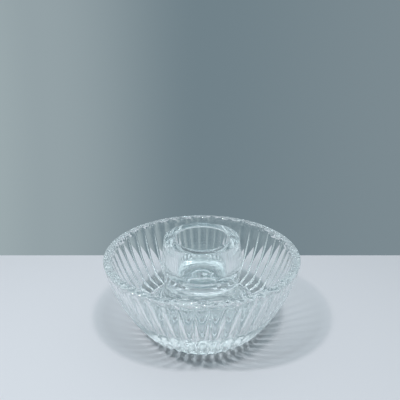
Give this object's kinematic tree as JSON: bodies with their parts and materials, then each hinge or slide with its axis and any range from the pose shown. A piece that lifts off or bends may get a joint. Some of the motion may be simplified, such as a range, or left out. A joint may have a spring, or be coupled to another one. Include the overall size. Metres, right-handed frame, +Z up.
{
  "type": "candle bowl",
  "caption": "Round clear-glass bowl with a fluted wall on a foot ring, holding a loose thick-walled glass cup for a candle, with a deep trough around it for water or flowers.",
  "frame": {"origin": "centre of the foot ring, on the surface that the bowl stands on", "axes": "+Z up along the bowl's axis of symmetry; the flutes repeat around it, with the valley of one flute at +X"},
  "size_m": [0.1446, 0.1446, 0.0763],
  "materials": {
    "clear_glass": "clear pressed glass, fire-polished"
  },
  "bodies": {
    "bowl": {"fluted_bowl": "clear_glass"},
    "cup": {"candle_cup": "clear_glass"}
  },
  "joints": [
    {"name": "cup_lift", "type": "slide", "parent": "bowl", "child": "cup", "axis": [0, 0, 1], "range_m": [0, 0.06]}
  ]
}
